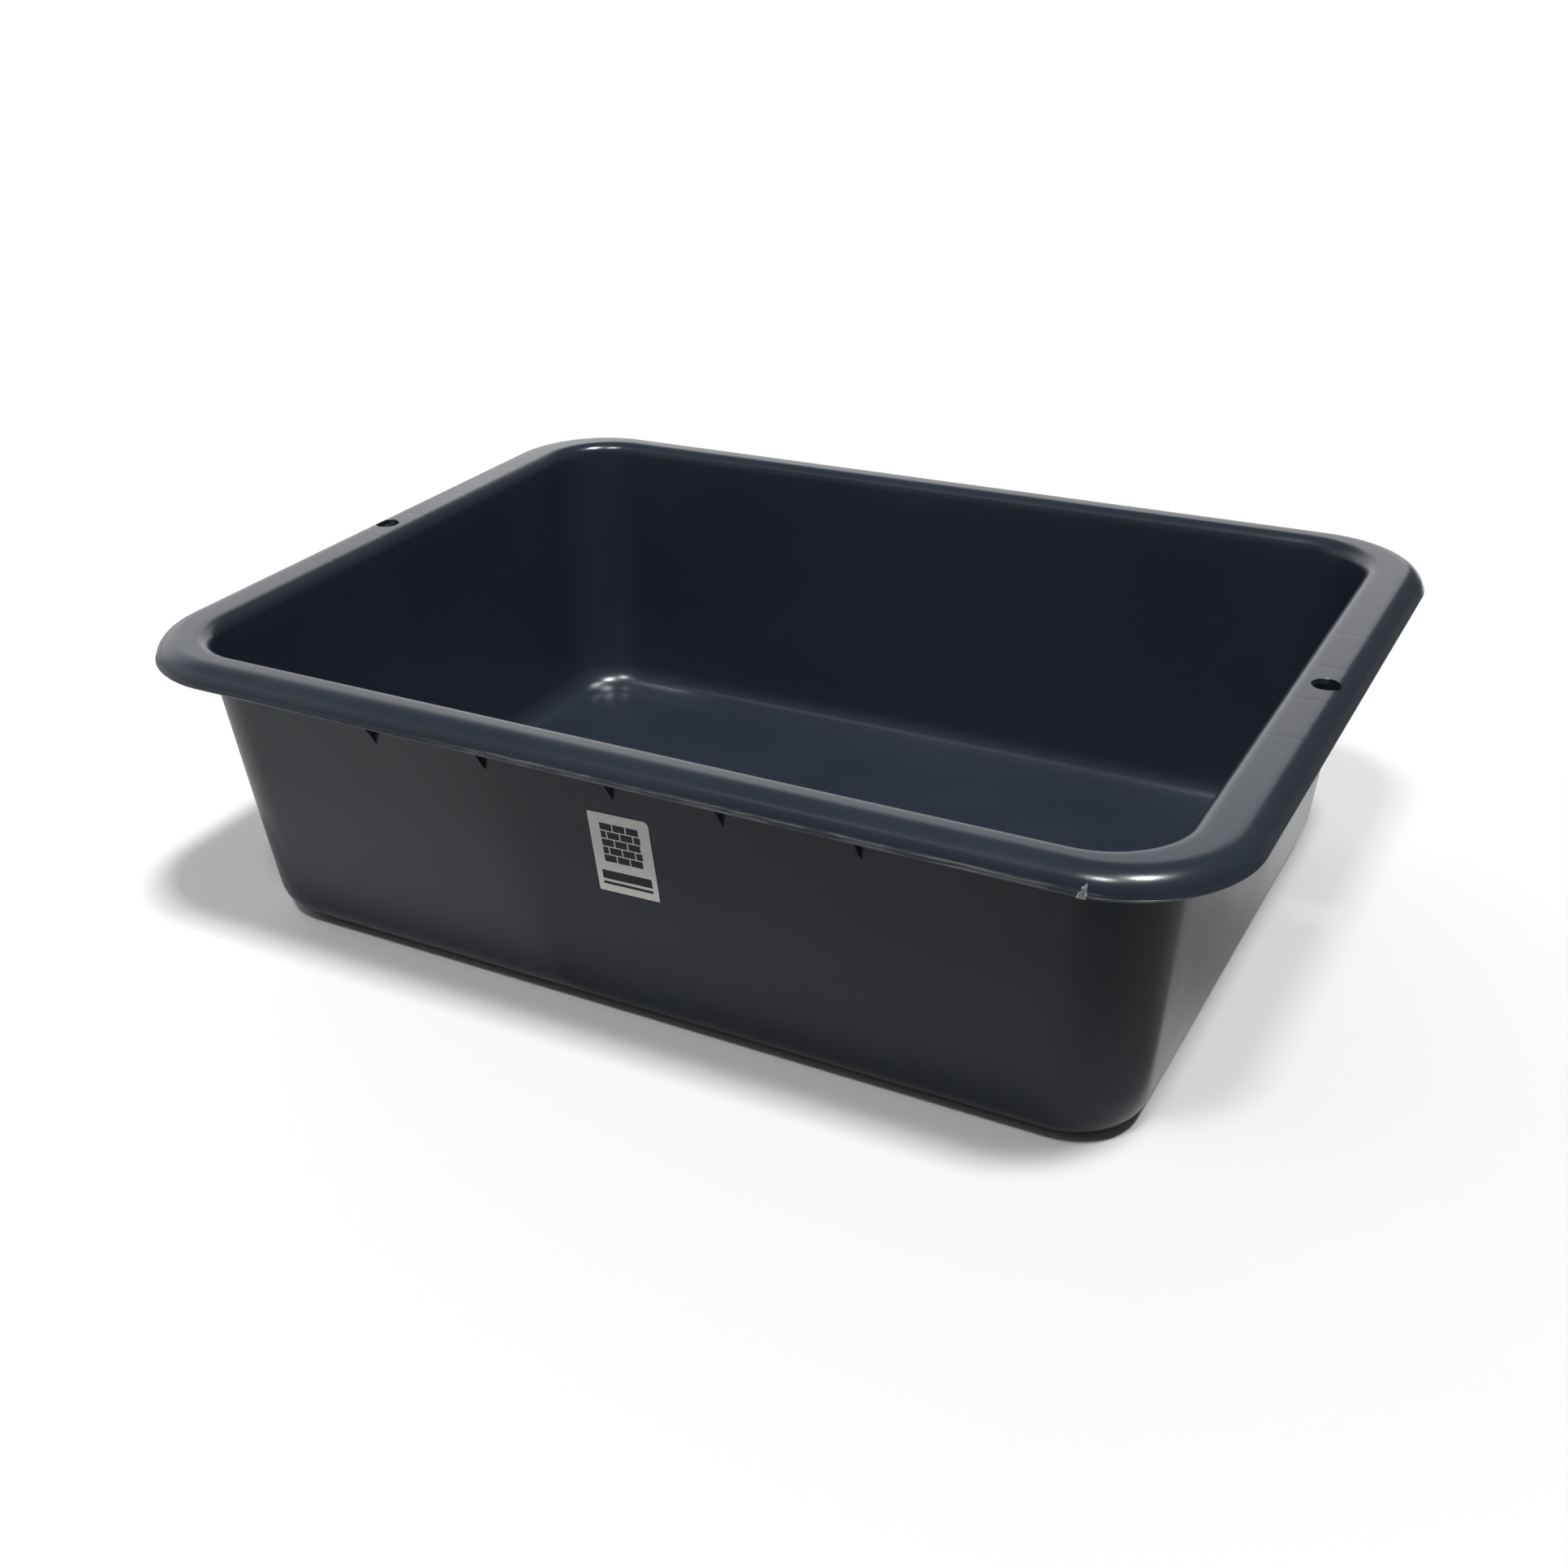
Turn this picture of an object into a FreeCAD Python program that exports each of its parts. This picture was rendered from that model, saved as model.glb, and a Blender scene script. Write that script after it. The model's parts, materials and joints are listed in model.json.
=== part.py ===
import FreeCAD, Part
import math
import os

# Mortar mixing tub: a one-piece tapered plastic moulding with a rolled rim and a small adhesive label.
# Frame: millimetres, X along the length, Y across the width, +Z up.
# Origin: the centre of the underside, on the plane the tub rests on. The label is on the -Y wall.

# Overall size over the rim
LENGTH = 600.0
WIDTH = 455.0
HEIGHT = 172.0

# Tapered shell, measured on its outside
WALL = 3.0
BASE_LENGTH = 511.0
BASE_WIDTH = 368.0
BASE_CORNER_RADIUS = 38.0
TOP_CORNER_RADIUS = 42.5
BASE_EDGE_RADIUS = 20.0
END_OVERHANG = 29.0
SIDE_OVERHANG = 21.5

# Rolled rim
RIM_CORNER_RADIUS = 65.0
RIM_DROP = 12.0
ROLL_RADIUS = 11.5
INNER_EDGE_RADIUS = 8.0
LIP_HEIGHT = 1.6
LIP_PROUD = 0.4

# Stiffening gussets under the rim
GUSSET_THICKNESS = 1.8
GUSSET_TIP_HEIGHT = 138.0
GUSSET_WRAP_DEG = 40.0
SIDE_GUSSET_X = (-140.0, -72.0, 2.0, 62.0, 132.0)
END_GUSSET_Y = (-67.0, -21.5, 21.5, 67.0)

# Hanging hole through each short rim
HOLE_DIAMETER = 14.0
HOLE_SETBACK = 15.0

# Moulding gate mark in the middle of the underside
GATE_RECESS_DIAMETER = 24.0
GATE_RECESS_DEPTH = 0.8
GATE_NUB_DIAMETER = 5.0
GATE_NUB_HEIGHT = 0.5

# Adhesive label on the front wall
LABEL_WIDTH = 34.5
LABEL_HEIGHT = 47.0
LABEL_THICKNESS = 0.25
LABEL_CORNER_RADIUS = 1.5
LABEL_X = 4.6
LABEL_Z = 106.3
LABEL_TILT_DEG = 1.8

# Working values
OVERRUN = 5.0
EMBED = 1.2
UNDERSIDE_HEIGHT = HEIGHT - WALL
TOP_LENGTH = LENGTH - 2 * END_OVERHANG
TOP_WIDTH = WIDTH - 2 * SIDE_OVERHANG


def vec(x, y, z):
    return FreeCAD.Vector(x, y, z)


def rounded_outline(length, width, radius, z):
    """Closed wire of a rounded rectangle centred on the Z axis at height z."""
    x = length / 2
    y = width / 2
    bow = radius * math.sin(math.pi / 4)
    edges = []
    corners = ((1, 1), (-1, 1), (-1, -1), (1, -1))
    for sx, sy in corners:
        centre = vec(sx * (x - radius), sy * (y - radius), z)
        on_end = vec(sx * x, centre.y, z)
        on_side = vec(centre.x, sy * y, z)
        middle = centre + vec(sx * bow, sy * bow, 0)
        first, last = (on_end, on_side) if sx == sy else (on_side, on_end)
        edges.append(Part.Arc(first, middle, last).toShape())
    for i in range(4):
        start = edges[i].lastVertex(True).Point
        end = edges[(i + 1) % 4].firstVertex(True).Point
        edges.append(Part.makeLine(start, end))
    return Part.Wire(Part.__sortEdges__(edges))


def slab(length, width, radius, low, high):
    """Upright solid with a rounded rectangular outline."""
    outline = rounded_outline(length, width, radius, low)
    return Part.Face(outline).extrude(vec(0, 0, high - low))


def wall_at(z, inset):
    """Length, width and corner radius of the tapered wall at height z, moved in by inset."""
    t = z / HEIGHT
    length = BASE_LENGTH + t * (TOP_LENGTH - BASE_LENGTH) - 2 * inset
    width = BASE_WIDTH + t * (TOP_WIDTH - BASE_WIDTH) - 2 * inset
    radius = BASE_CORNER_RADIUS + t * (TOP_CORNER_RADIUS - BASE_CORNER_RADIUS) - inset
    return length, width, radius


def flat_edges(shape, z, length, width):
    """Edges of shape that lie at height z within a length by width rectangle."""
    slack = 0.01
    found = []
    for edge in shape.Edges:
        box = edge.BoundBox
        level = abs(box.ZMin - z) < slack and abs(box.ZMax - z) < slack
        inside = box.XMax < length / 2 + slack and box.YMax < width / 2 + slack
        inside = inside and box.XMin > -length / 2 - slack and box.YMin > -width / 2 - slack
        if level and inside:
            found.append(edge)
    return found


def tapered_block(low, high, inset, edge_radius):
    """Solid block inside the tapered wall, with its lowest edge rounded."""
    lower = rounded_outline(*wall_at(low, inset), low)
    upper = rounded_outline(*wall_at(high, inset), high)
    block = Part.makeLoft([lower, upper], True, True)
    return block.makeFillet(edge_radius, flat_edges(block, low, LENGTH, WIDTH))


def rounded_top_slab(inset, low, high, radius):
    """Slab with the rim's outline moved in by inset, and its top edge rounded."""
    length = LENGTH - 2 * inset
    width = WIDTH - 2 * inset
    block = slab(length, width, RIM_CORNER_RADIUS - inset, low, high)
    return block.makeFillet(radius, flat_edges(block, high, LENGTH, WIDTH))


def rim_block():
    """Outside of the rolled rim, with its small proud lip, before it is hollowed."""
    low = HEIGHT - RIM_DROP
    roll = rounded_top_slab(LIP_PROUD, low, HEIGHT, ROLL_RADIUS)
    lip = slab(LENGTH, WIDTH, RIM_CORNER_RADIUS, low, low + LIP_HEIGHT)
    return roll.fuse(lip)


def rim_hollow(outer_wall):
    """Open channel under the rim, between the roll and the outside of the wall."""
    low = HEIGHT - RIM_DROP - OVERRUN
    inset = WALL + LIP_PROUD
    channel = rounded_top_slab(inset, low, UNDERSIDE_HEIGHT, ROLL_RADIUS - WALL)
    channel = channel.cut(outer_wall)
    length, width, _ = wall_at(UNDERSIDE_HEIGHT, 0)
    corner = flat_edges(channel, UNDERSIDE_HEIGHT, length, width)
    return channel.makeFillet(INNER_EDGE_RADIUS - WALL, corner)


def gusset_plate(wall_tip, wall_top, rim):
    """Triangular plate in the XZ plane, from its tip on the wall out and up into the roll of the rim.
    The arguments are half sizes of the wall at the tip, of the wall under the rim, and of the rim."""
    top = UNDERSIDE_HEIGHT + EMBED
    roll_reach = rim - LIP_PROUD - ROLL_RADIUS
    roll_height = HEIGHT - ROLL_RADIUS
    hold = ROLL_RADIUS - WALL + EMBED
    wrap = math.radians(GUSSET_WRAP_DEG)
    points = [
        vec(wall_tip - EMBED, 0, GUSSET_TIP_HEIGHT),
        vec(wall_tip, 0, GUSSET_TIP_HEIGHT),
        vec(roll_reach + hold * math.sin(wrap), 0, roll_height + hold * math.cos(wrap)),
        vec(roll_reach, 0, top),
        vec(wall_top, 0, top),
    ]
    face = Part.Face(Part.makePolygon(points + points[:1]))
    plate = face.extrude(vec(0, GUSSET_THICKNESS, 0))
    plate.translate(vec(0, -GUSSET_THICKNESS / 2, 0))
    return plate


def gussets():
    """All the gussets under the two long rims and the two short rims."""
    length_tip, width_tip, _ = wall_at(GUSSET_TIP_HEIGHT, 0)
    length_top, width_top, _ = wall_at(UNDERSIDE_HEIGHT, 0)
    plates = []
    for turn in (0, 180):
        for y in END_GUSSET_Y:
            plate = gusset_plate(length_tip / 2, length_top / 2, LENGTH / 2)
            plate.rotate(vec(0, 0, 0), vec(0, 0, 1), turn)
            plate.translate(vec(0, y, 0))
            plates.append(plate)
    for turn in (-90, 90):
        for x in SIDE_GUSSET_X:
            plate = gusset_plate(width_tip / 2, width_top / 2, WIDTH / 2)
            plate.rotate(vec(0, 0, 0), vec(0, 0, 1), turn)
            plate.translate(vec(x, 0, 0))
            plates.append(plate)
    return plates


def hanging_holes():
    """Upright drills for the hole in each short rim."""
    low = HEIGHT - RIM_DROP
    drills = []
    for side in (-1, 1):
        foot = vec(side * (LENGTH / 2 - HOLE_SETBACK), 0, low)
        drills.append(Part.makeCylinder(HOLE_DIAMETER / 2, RIM_DROP + OVERRUN, foot))
    return drills


def gate_recess():
    """Shallow round recess in the underside, leaving the gate nub standing in it."""
    recess = Part.makeCylinder(GATE_RECESS_DIAMETER / 2, GATE_RECESS_DEPTH)
    nub_foot = vec(0, 0, GATE_RECESS_DEPTH - GATE_NUB_HEIGHT)
    nub = Part.makeCylinder(GATE_NUB_DIAMETER / 2, GATE_NUB_HEIGHT, nub_foot)
    return recess.cut(nub)


def tub():
    """The whole moulding: floor, four drafted walls, rolled rim and gussets in one solid."""
    outer = tapered_block(0, HEIGHT, 0, BASE_EDGE_RADIUS)
    cavity = tapered_block(WALL, HEIGHT + OVERRUN, WALL, BASE_EDGE_RADIUS - WALL)
    body = outer.fuse(rim_block())
    body = body.cut(rim_hollow(outer))
    body = body.cut(cavity)
    length, width, _ = wall_at(HEIGHT, WALL)
    body = body.makeFillet(INNER_EDGE_RADIUS, flat_edges(body, HEIGHT, length, width))
    body = body.fuse(gussets())
    body = body.cut(hanging_holes() + [gate_recess()])
    return body.removeSplitter()


def label():
    """Thin rounded plate lying on the outside of the front wall."""
    outline = rounded_outline(LABEL_WIDTH, LABEL_HEIGHT, LABEL_CORNER_RADIUS, 0)
    plate = Part.Face(outline).extrude(vec(0, 0, LABEL_THICKNESS))
    draft = math.degrees(math.atan((TOP_WIDTH - BASE_WIDTH) / 2 / HEIGHT))
    _, width, _ = wall_at(LABEL_Z, 0)
    plate.rotate(vec(0, 0, 0), vec(0, 0, 1), LABEL_TILT_DEG)
    plate.rotate(vec(0, 0, 0), vec(1, 0, 0), 90 + draft)
    plate.translate(vec(LABEL_X, -width / 2, LABEL_Z))
    return plate


def export(name, shape):
    solids = shape.Solids
    node = solids[0] if len(solids) == 1 else Part.makeCompound(solids)
    node.exportStep("parts/" + name + ".step")


os.makedirs("parts", exist_ok=True)
export("tub", tub())
export("label", label())
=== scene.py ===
import json
import math

import bmesh
import bpy
import numpy as np
from mathutils import Matrix, Vector, noise


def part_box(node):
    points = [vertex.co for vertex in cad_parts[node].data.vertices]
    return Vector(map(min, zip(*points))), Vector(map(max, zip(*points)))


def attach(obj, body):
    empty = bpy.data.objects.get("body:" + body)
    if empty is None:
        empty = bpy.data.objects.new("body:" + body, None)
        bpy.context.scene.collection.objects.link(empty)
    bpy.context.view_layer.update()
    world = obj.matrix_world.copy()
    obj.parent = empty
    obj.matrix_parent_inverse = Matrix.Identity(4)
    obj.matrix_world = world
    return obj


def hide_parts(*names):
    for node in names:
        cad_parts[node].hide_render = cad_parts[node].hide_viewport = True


# Looks of the mortar mixing tub: a closed shell for the moulding, a printed label, procedural materials,
# a pale floor and soft light. Metres, in the frame of the CAD model: X along the length, +Z up.

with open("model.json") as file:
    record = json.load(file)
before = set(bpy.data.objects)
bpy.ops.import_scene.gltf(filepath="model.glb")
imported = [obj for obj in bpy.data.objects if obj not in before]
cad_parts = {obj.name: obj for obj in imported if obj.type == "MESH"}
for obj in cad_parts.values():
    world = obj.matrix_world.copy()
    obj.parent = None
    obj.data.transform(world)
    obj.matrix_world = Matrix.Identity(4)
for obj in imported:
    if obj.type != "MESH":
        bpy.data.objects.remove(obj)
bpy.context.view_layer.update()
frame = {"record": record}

# Overall size, from the frame
TUB_LOW, TUB_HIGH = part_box("tub")
RIM_HALF_LENGTH = (TUB_HIGH.x - TUB_LOW.x) / 2
RIM_HALF_WIDTH = (TUB_HIGH.y - TUB_LOW.y) / 2
HEIGHT = TUB_HIGH.z

# Tapered shell, measured on its outside
WALL = 0.003
BASE_HALF_LENGTH = 0.2555
BASE_HALF_WIDTH = 0.184
TOP_HALF_LENGTH = RIM_HALF_LENGTH - 0.029
TOP_HALF_WIDTH = RIM_HALF_WIDTH - 0.0215
BASE_CORNER_RADIUS = 0.038
TOP_CORNER_RADIUS = 0.0425
BASE_EDGE_RADIUS = 0.020

# Rolled rim: its cross-section is an ellipse, ROLL_REACH outwards and ROLL_RADIUS up. The lip's lower edge
# stands LIP_LEAN further in than its upper edge
RIM_CORNER_RADIUS = 0.065
RIM_DROP = 0.012
ROLL_RADIUS = 0.0115
ROLL_REACH = 0.0130
INNER_EDGE_RADIUS = 0.008
LIP_HEIGHT = 0.0016
LIP_PROUD = 0.0004
LIP_ROUNDING = 0.00035
LIP_LEAN = 0.0009
LIP_LOW = HEIGHT - RIM_DROP
CORNER_CENTRE_X = RIM_HALF_LENGTH - RIM_CORNER_RADIUS
CORNER_CENTRE_Y = RIM_HALF_WIDTH - RIM_CORNER_RADIUS

# Gussets under the rim: each reaches GUSSET_WRAP round the inside of the roll, and EMBED into what it joins
GUSSET_THICKNESS = 0.0018
GUSSET_TIP_HEIGHT = 0.138
GUSSET_WRAP = math.radians(40)
SIDE_GUSSET_X = (-0.140, -0.072, 0.002, 0.062, 0.132)
END_GUSSET_Y = (-0.067, -0.0215, 0.0215, 0.067)
EMBED = 0.0012

# Hole and gate edges
HOLE_CHAMFER = 0.0003
GATE_RADIUS = 0.012
GATE_DEPTH = 0.0008
GATE_NUB_RADIUS = 0.0025
GATE_NUB_HEIGHT = 0.0005

# Sink lines and slow warp
SINK_DEPTH = 0.00007
SINK_SPREAD = 0.0008
SINK_DRIFT = 0.0006
WARP_DEPTH = 0.00035
WARP_TOP = 0.9
RIM_WAVE = 0.00012
RIM_WAVE_START = 0.93

# Rough seam of flash along the front lip, and the torn bit standing on it, as (along, up) points
FLASH_START = -0.100
FLASH_END = 0.243
FLASH_HEIGHT = 0.0036
FLASH_TOP = FLASH_HEIGHT * 1.3
FLASH_DEPTH = 0.00022
FLASH_RIDGES = 2.6
FLASH_WANDER = 0.0004
FLASH_FADE_IN = 0.03
FLASH_FADE_OUT = 0.004
FLAP_OUTLINE = (
    (-0.0031, 0.0004),
    (0.0008, 0.0003),
    (0.0013, 0.0022),
    (0.0009, 0.0041),
    (0.0011, 0.0061),
    (0.0003, 0.0066),
    (-0.0003, 0.0054),
    (-0.0013, 0.0050),
    (-0.0015, 0.0032),
    (-0.0026, 0.0024),
)
FLAP_THICKNESS = 0.0012
FLAP_CURL = 0.0003

# Label
LABEL_WIDTH = 0.0345
LABEL_HEIGHT = 0.047
LABEL_TILT = math.radians(1.8)
LABEL_LOW, LABEL_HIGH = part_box("label")
FRONT_DRAFT = math.atan((TOP_HALF_WIDTH - BASE_HALF_WIDTH) / HEIGHT)
FILM_THICKNESS = 0.00018
FILM_LIFT = 0.00010
FILM_RIPPLE = 0.00012
FILM_EDGE = 0.8
FILM_CELLS = (30, 40)
FILM_ROUND_CORNER = 0.0026
FILM_CRISP_CORNER = 0.0004
INK_THICKNESS = 0.00003
INK_GAP = 0.00001
INK_PITCH = 0.0015

# The label's print: a wall of bricks over two bars, which are given by their lower and upper edges
BRICK_LENGTH = 0.0068
BRICK_HEIGHT = 0.0040
BRICK_JOINT = 0.0007
BRICK_COURSES = 5
BRICKS_HALF_WIDTH = 0.0112
BRICKS_LOW = -0.0052
BAR_HALF_WIDTH = 0.0142
BARS = ((-0.0160, -0.0108), (-0.0192, -0.0176))

# Mesh density: stations stand closer at MARK_STEPS round each gusset and hole
CORNER_STEPS = 24
SIDE_PITCH = 0.004
END_PITCH = 0.006
MARK_STEPS = (-0.003, -0.0015, -0.00075, 0.0, 0.00075, 0.0015, 0.003)
LATHE_STEPS = 72
ROLL_SPLIT_ANGLE = 20.0

# Edges sharper than this stay crisp in the smooth shading
SHARP_ANGLE = math.radians(22)


# ---------------------------------------------------------------- cross-section of the moulding

def arc(centre, radius, start, end, steps, reach=None):
    """(reach, height) points round centre; angles in degrees, 0 outwards and 90 up.
    reach is the outward half axis where the curve is an ellipse."""
    angles = np.radians(np.linspace(start, end, steps + 1))
    reach = reach or radius
    return [(centre[0] + reach * math.cos(a), centre[1] + radius * math.sin(a)) for a in angles]


def between(start, end, steps):
    """(reach, height) points that divide the stretch from start to end, without its ends."""
    return [tuple(np.array(start) + np.subtract(end, start) * i / steps) for i in range(1, steps)]


def wall_corner_radius(height):
    return BASE_CORNER_RADIUS + (TOP_CORNER_RADIUS - BASE_CORNER_RADIUS) * height / HEIGHT


def lip_points(rim):
    """The rounded lip at the edge of the rim, from the foot of the roll down, in and up to the channel."""
    lip_top = LIP_LOW + LIP_HEIGHT
    upper_round = arc((rim - LIP_ROUNDING, lip_top - LIP_ROUNDING), LIP_ROUNDING, 80, 0, 5)
    lower_round = arc((rim - LIP_LEAN - LIP_ROUNDING, LIP_LOW + LIP_ROUNDING), LIP_ROUNDING, -30, -90, 4)
    lip_inside = rim - LIP_PROUD - WALL
    foot_round = arc((lip_inside + LIP_ROUNDING, LIP_LOW + LIP_ROUNDING), LIP_ROUNDING, -90, -180, 5)
    return upper_round + between(upper_round[-1], lower_round[0], 3) + lower_round + foot_round


def rolled_points(rim):
    """Outside of the roll, its lip and the channel under it."""
    centre = (rim - LIP_PROUD - ROLL_REACH, HEIGHT - ROLL_RADIUS)
    lip_angle = math.degrees(math.asin((LIP_LOW + LIP_HEIGHT - centre[1]) / ROLL_RADIUS))
    roll = arc(centre, ROLL_RADIUS, 90, ROLL_SPLIT_ANGLE, 14, ROLL_REACH)
    roll += arc(centre, ROLL_RADIUS, ROLL_SPLIT_ANGLE, lip_angle, 8, ROLL_REACH)[1:]
    channel = arc(centre, ROLL_RADIUS - WALL, 5, 90, 8, ROLL_REACH - WALL)
    return roll + lip_points(rim) + channel


def section(base, top, rim):
    """Cross-section from the floor up the inside, over the rim and down the outside.
    base, top and rim are half sizes. Gives rows of reach, height and corner radius."""
    slope = (top - base) / HEIGHT
    draft = math.degrees(math.atan(slope))
    spread = math.hypot(1, slope)

    def wall_reach(height):
        return base + slope * height

    def wall_rows(points):
        return [(r, h, wall_corner_radius(h) - wall_reach(h) + r) for r, h in points]

    inner = BASE_EDGE_RADIUS - WALL
    floor_centre = (wall_reach(BASE_EDGE_RADIUS) - WALL - inner * spread, BASE_EDGE_RADIUS)
    floor_fillet = arc(floor_centre, inner, -90, -draft, 8)
    edge_height = HEIGHT - INNER_EDGE_RADIUS
    edge_centre = (wall_reach(edge_height) - WALL + INNER_EDGE_RADIUS * spread, edge_height)
    inner_edge = arc(edge_centre, INNER_EDGE_RADIUS, 180 - draft, 90, 8)
    inside = wall_rows(floor_fillet + between(floor_fillet[-1], inner_edge[0], 13) + inner_edge)

    under_radius = INNER_EDGE_RADIUS - WALL
    under_height = HEIGHT - WALL - under_radius
    under_centre = (wall_reach(under_height) + under_radius * spread, under_height)
    under_fillet = arc(under_centre, under_radius, 90, 180 - draft, 5)
    foot_centre = (wall_reach(BASE_EDGE_RADIUS) - BASE_EDGE_RADIUS * spread, BASE_EDGE_RADIUS)
    foot_fillet = arc(foot_centre, BASE_EDGE_RADIUS, -draft, -90, 10)
    outside = wall_rows(under_fillet + between(under_fillet[-1], foot_fillet[0], 12) + foot_fillet)

    rolled = [(r, h, RIM_CORNER_RADIUS - rim + r) for r, h in rolled_points(rim)]
    flat = []
    for i in range(1, 4):
        flat.append(tuple(np.array(inside[-1]) * (1 - i / 4) + np.array(rolled[0]) * i / 4))
    return np.array(inside + flat + rolled + outside)


# ---------------------------------------------------------------- rings of stations round the tub

def side_stops(half, pitch, marks):
    """Positions from -1 to 1 along a straight side: even steps, packed closer round each mark."""
    close = sorted(mark + step for mark in marks for step in MARK_STEPS)
    even = np.linspace(-half, half, 2 * round(half / pitch) + 1)
    gap = pitch / 3
    kept = [e for e in even if all(abs(e - c) > gap for c in close)]
    return np.array(sorted(kept + close)) / half


def stations():
    """Rows of (fx, fy, c, s), with the counts along the short and long sides. On a ring with corner radius r
    a station is the point (fx * (half_length - r) + c * r, fy * (half_width - r) + s * r)."""
    along = side_stops(CORNER_CENTRE_X, SIDE_PITCH, SIDE_GUSSET_X)
    across = side_stops(CORNER_CENTRE_Y, END_PITCH, END_GUSSET_Y + (0.0,))
    turns = np.radians(np.arange(1, CORNER_STEPS) * 90.0 / CORNER_STEPS)
    rows = [(1, t, 1, 0) for t in across]
    rows += [(1, 1, math.cos(a), math.sin(a)) for a in turns]
    rows += [(t, 1, 0, 1) for t in along[::-1]]
    rows += [(-1, 1, -math.sin(a), math.cos(a)) for a in turns]
    rows += [(-1, t, -1, 0) for t in across[::-1]]
    rows += [(-1, -1, -math.cos(a), -math.sin(a)) for a in turns]
    rows += [(t, -1, 0, -1) for t in along]
    rows += [(1, -1, math.sin(a), -math.cos(a)) for a in turns]
    return np.array(rows, float), len(across), len(along)


def ring_points(end_rows, side_rows, stops):
    """Array of rings by stations by XYZ. Round a corner, heights blend from the end to the side section."""
    fx, fy, c, s = stops.T
    radius = ((end_rows[:, 2] + side_rows[:, 2]) / 2)[:, None]
    x = fx * (end_rows[:, :1] - radius) + c * radius
    y = fy * (side_rows[:, :1] - radius) + s * radius
    z = end_rows[:, 1:2] * c ** 2 + side_rows[:, 1:2] * s ** 2
    return np.stack([x, y, z], axis=-1)


def floor_patch(ring, across_count, along_count):
    """Grid of points (columns along X, rows along Y) that fills a ring, and the ring's indices round it."""
    turn = CORNER_STEPS // 2
    count = len(ring)
    corner_start = across_count - 1
    right_top = corner_start + turn
    left_top = right_top + CORNER_STEPS + along_count - 1
    left_bottom = left_top + CORNER_STEPS + across_count - 1
    right_bottom = left_bottom + CORNER_STEPS + along_count - 1
    right = [i % count for i in range(right_bottom, right_top + count + 1)]
    top = list(range(right_top, left_top + 1))[::-1]
    left = list(range(left_top, left_bottom + 1))[::-1]
    bottom = list(range(left_bottom, right_bottom + 1))
    b, t, l, r = (ring[np.array(i)] for i in (bottom, top, left, right))
    u = ((b[:, 0] - b[0, 0]) / (b[-1, 0] - b[0, 0]))[:, None, None]
    v = ((l[:, 1] - l[0, 1]) / (l[-1, 1] - l[0, 1]))[None, :, None]
    grid = (1 - v) * b[:, None] + v * t[:, None] + (1 - u) * l[None] + u * r[None]
    grid -= (1 - u) * (1 - v) * b[0] + u * (1 - v) * b[-1] + (1 - u) * v * t[0] + u * v * t[-1]
    return grid, (bottom, top, left, right)


# ---------------------------------------------------------------- marks left by the mould

def waver(*place):
    """Smooth noise between about -1 and 1. A coordinate's multiplier sets how fast it changes that way, and a
    plain number picks a slice of its own for each use."""
    return noise.noise(Vector(place))


def flash_ridges(x, height):
    """Outward offset of the rough trimmed seam along the lip, from its height above the lip's lower edge."""
    if height > FLASH_TOP:
        return 0.0
    start = max(0.0, (x - FLASH_START) / FLASH_FADE_IN)
    end = max(0.0, (FLASH_END - x) / FLASH_FADE_OUT)
    fade = min(1.0, start, end)
    wander = FLASH_WANDER * waver(x * 30, 1.7, 0)
    lines = 0.5 + 0.5 * math.sin((height + wander) / FLASH_HEIGHT * FLASH_RIDGES * math.tau)
    chatter = 0.6 + 0.8 * waver(x * 260, height * 900, 3.1)
    top_fade = min(1.0, max(0.0, (FLASH_TOP - height) / (FLASH_HEIGHT * 0.3)))
    return FLASH_DEPTH * lines * chatter * fade * top_fade


def sink_offset(point):
    """Drop of the short rims over the gussets below them."""
    drop = 0.0
    if abs(point.x) > TOP_HALF_LENGTH and point.z > HEIGHT - WALL * 0.8:
        for y in END_GUSSET_Y:
            drift = SINK_DRIFT * waver(point.x * 90, y * 40, 5.5)
            drop += SINK_DEPTH * math.exp(-((point.y - y - drift) / SINK_SPREAD) ** 2)
    return drop


def mould_marks(point):
    """The point moved by the flash seam on the front lip and by the sink lines."""
    moved = Vector(point)
    on_lip_face = point.y < -(RIM_HALF_WIDTH - 0.0020) and point.z > LIP_LOW + LIP_ROUNDING / 2
    if on_lip_face and point.x > FLASH_START:
        moved.y -= flash_ridges(point.x, point.z - LIP_LOW)
    moved.z -= sink_offset(point)
    return moved


def warp(points):
    """Slow in-and-out warp of the walls, none at the rim and the foot, and a faint dip along the rim."""
    for p in points:
        rise = p[2] / HEIGHT
        share = max(0.0, math.sin(math.pi * min(1.0, rise * 1.1))) if rise < WARP_TOP else 0.0
        wave = waver(p[0] * 6, p[1] * 6, p[2] * 5 + 4.0)
        on_side = abs(p[1]) / BASE_HALF_WIDTH > abs(p[0]) / BASE_HALF_LENGTH
        axis = 1 if on_side else 0
        p[axis] += math.copysign(WARP_DEPTH * wave * share, p[axis])
        if rise > RIM_WAVE_START:
            dip = 0.5 + 0.5 * waver(p[0] * 14, p[1] * 14, 7.7)
            p[2] -= RIM_WAVE * dip * (rise - RIM_WAVE_START) / (1 - RIM_WAVE_START)


# ---------------------------------------------------------------- building the moulding

def new_object(name, vertices, faces):
    mesh = bpy.data.meshes.new(name)
    mesh.from_pydata([tuple(v) for v in vertices], [], faces)
    piece = bpy.data.objects.new(name, mesh)
    bpy.context.scene.collection.objects.link(piece)
    return piece


def close_normals(piece):
    """Turns every face of a closed mesh outwards."""
    work = bmesh.new()
    work.from_mesh(piece.data)
    bmesh.ops.recalc_face_normals(work, faces=work.faces)
    work.to_mesh(piece.data)
    work.free()


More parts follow.
